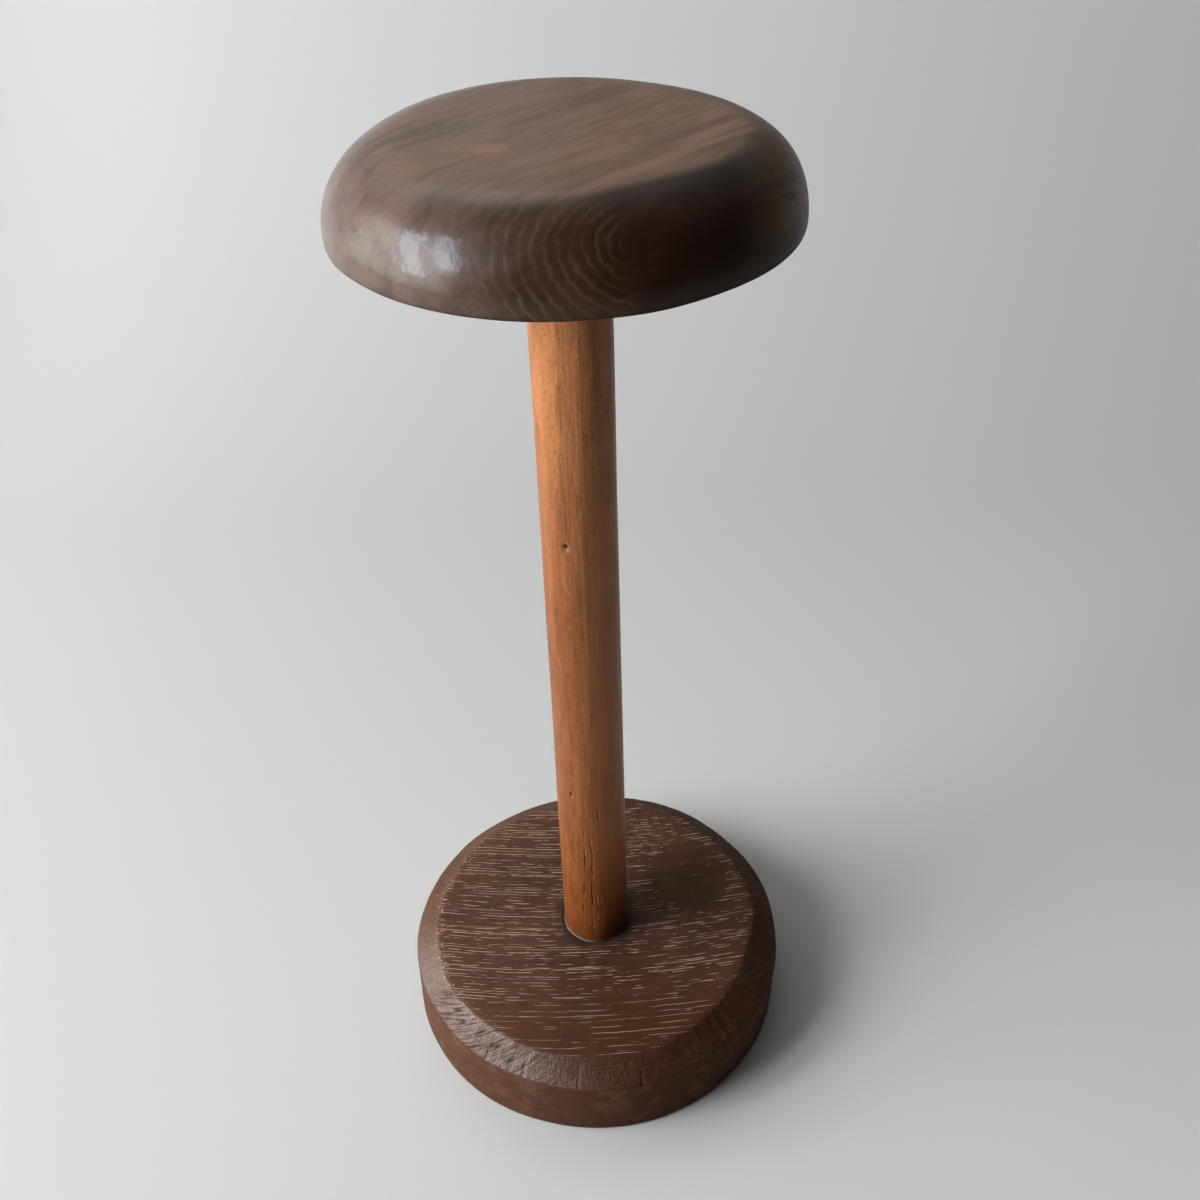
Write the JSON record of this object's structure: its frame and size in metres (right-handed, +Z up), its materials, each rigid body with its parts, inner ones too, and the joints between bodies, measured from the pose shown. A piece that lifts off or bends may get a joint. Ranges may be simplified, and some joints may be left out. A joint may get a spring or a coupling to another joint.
{
  "type": "wig stand",
  "caption": "Tabletop wooden wig stand: a flat-crowned mushroom head on a slim round post, set in a heavy bevelled round base.",
  "frame": {"origin": "centre of the underside of the base, on the surface that the stand rests on", "axes": "+Z up the post from the base to the head; the wooden pieces are round about Z, and -Y is the side that faces the viewer in the picture"},
  "size_m": [0.15, 0.15, 0.359],
  "materials": {
    "dark_oak": "dark stained oak, hand-rasped bevel, waxed",
    "post_wood": "orange-brown stained post, shaved and waxed",
    "dark_walnut": "dark waxed wood, polished by handling",
    "dried_glue": "dried hide glue",
    "screw_steel": "plain steel wood screw, dulled"
  },
  "bodies": {
    "root": {"base": "dark_oak", "post": "post_wood", "head": "dark_walnut", "base_screw": "screw_steel", "foot_glue": "dried_glue", "head_glue": "dried_glue"}
  },
  "joints": []
}
